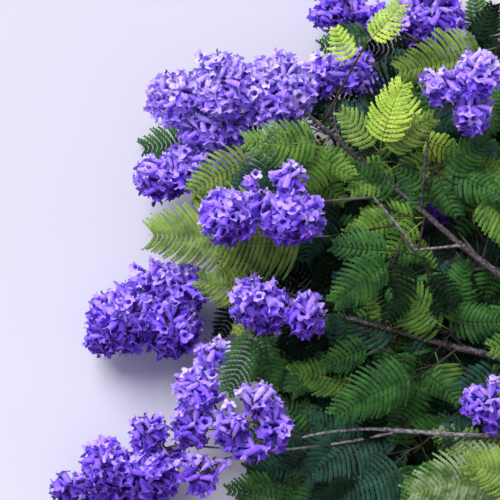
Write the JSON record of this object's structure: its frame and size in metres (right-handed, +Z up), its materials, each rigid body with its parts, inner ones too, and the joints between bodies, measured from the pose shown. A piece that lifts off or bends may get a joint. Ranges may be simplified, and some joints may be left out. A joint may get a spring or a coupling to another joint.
{
  "type": "cut flowering jacaranda bough",
  "caption": "Flowering bough cut from a jacaranda tree and laid flat: bare forked limbs, feathery leaves and heads of violet trumpet flowers.",
  "frame": {"origin": "on the floor, under the middle of the whole bough", "axes": "+Z up off the floor; +X from the flowering tips towards the cut end of the main bough; +Y towards the side that was uppermost on the tree"},
  "size_m": [1.5574, 1.3882, 0.3933],
  "materials": {
    "bark": "dull grey-brown bark of young limbs, with pale breathing pores",
    "foliage": "soft matt green leaflets, some lime and some dark",
    "blossom": "thin silky violet petals, paler at the lip"
  },
  "bodies": {
    "root": {"main_bough": "bark", "middle_limb": "bark", "upper_limb": "bark", "lower_limb": "bark", "near_fork": "bark", "far_fork": "bark", "top_limb": "bark", "top_twig": "bark", "upright_twig": "bark", "elbow_twig": "bark", "elbow_end": "bark", "crown_twig": "bark", "west_twig": "bark", "high_twig": "bark", "right_limb": "bark", "bottom_limb": "bark", "head_crown": "blossom", "head_shoulder": "blossom", "head_middle": "blossom", "head_west": "blossom", "head_heart": "blossom", "head_pillar": "blossom", "head_wheel": "blossom", "head_foot": "blossom", "head_drop": "blossom", "head_top_left": "blossom", "head_top": "blossom", "head_upright": "blossom", "head_edge": "blossom", "head_shade": "blossom", "head_high": "blossom", "head_right": "blossom", "head_bottom": "blossom", "spray_blade": "foliage", "spray_flame": "foliage", "spray_arrow": "foliage", "spray_fan": "foliage", "spray_wing": "foliage", "spray_far_wing": "foliage", "spray_lime": "foliage", "spray_hanging": "foliage", "spray_pale": "foliage", "spray_low": "foliage", "spray_bright": "foliage", "spray_inner": "foliage", "spray_curtain": "foliage", "spray_brow": "foliage", "spray_elbow": "foliage", "spray_right": "foliage", "spray_gap": "foliage", "spray_shade": "foliage", "spray_arch": "foliage", "spray_under": "foliage", "spray_floor": "foliage", "spray_south": "foliage", "spray_north": "foliage", "spray_back": "foliage", "spray_east": "foliage", "spray_corner": "foliage", "spray_heel": "foliage"}
  },
  "joints": []
}
